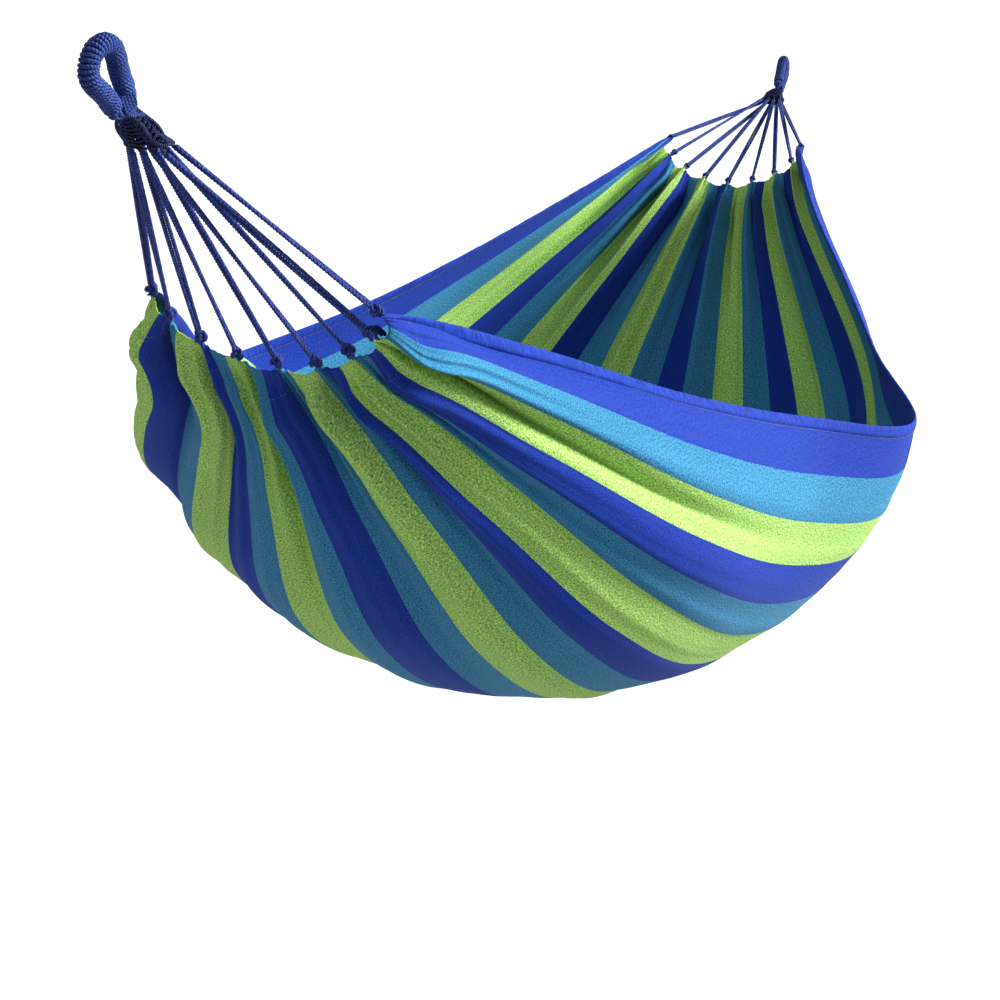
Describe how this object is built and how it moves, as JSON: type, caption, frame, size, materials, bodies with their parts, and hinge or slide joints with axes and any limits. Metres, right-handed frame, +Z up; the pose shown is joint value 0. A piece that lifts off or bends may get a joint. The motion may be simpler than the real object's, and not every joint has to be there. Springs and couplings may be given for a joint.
{
  "type": "rope hammock",
  "caption": "Striped canvas hammock bed hung open between two whipped rope eyes by fans of doubled cords knotted to its gathered end hems.",
  "frame": {"origin": "where the near hook bears on the inside of the near hanging eye", "axes": "+X along the hammock from the near eye to the far eye, +Y to the bed's far side, +Z up"},
  "size_m": [2.6813, 0.973, 0.924],
  "materials": {
    "striped_canvas": "matte woven cotton canvas with blue, teal and lime stripes along its length",
    "whipping_cord": "twisted blue cord wound side by side, slight sheen",
    "bundle_cord": "dark blue cord bundle, matte",
    "fan_cord": "doubled twisted blue cord, slight sheen",
    "knot_cord": "knotted blue cord, matte"
  },
  "bodies": {
    "hanging_eyes": {"near_eye_whipping": "whipping_cord", "far_eye_whipping": "whipping_cord", "near_eye_core": "bundle_cord", "far_eye_core": "bundle_cord"},
    "swinging_bed": {"bed_canvas": "striped_canvas", "near_clew": "bundle_cord", "far_clew": "bundle_cord", "near_cord_1": "fan_cord", "near_cord_2": "fan_cord", "near_cord_3": "fan_cord", "near_cord_4": "fan_cord", "near_cord_5": "fan_cord", "near_cord_6": "fan_cord", "near_cord_7": "fan_cord", "near_cord_8": "fan_cord", "near_cord_9": "fan_cord", "far_cord_1": "fan_cord", "far_cord_2": "fan_cord", "far_cord_3": "fan_cord", "far_cord_4": "fan_cord", "far_cord_5": "fan_cord", "far_cord_6": "fan_cord", "far_cord_7": "fan_cord", "far_cord_8": "fan_cord", "far_cord_9": "fan_cord", "near_knot_1": "knot_cord", "near_knot_2": "knot_cord", "near_knot_3": "knot_cord", "near_knot_4": "knot_cord", "near_knot_5": "knot_cord", "near_knot_6": "knot_cord", "near_knot_7": "knot_cord", "near_knot_8": "knot_cord", "near_knot_9": "knot_cord", "far_knot_1": "knot_cord", "far_knot_2": "knot_cord", "far_knot_3": "knot_cord", "far_knot_4": "knot_cord", "far_knot_5": "knot_cord", "far_knot_6": "knot_cord", "far_knot_7": "knot_cord", "far_knot_8": "knot_cord", "far_knot_9": "knot_cord"}
  },
  "joints": [
    {"name": "swing", "type": "hinge", "parent": "hanging_eyes", "child": "swinging_bed", "pos_m": [0.04525, 0, -0.04525], "axis": [0.9987, 0, -0.0513], "range_deg": [-30, 30]}
  ]
}
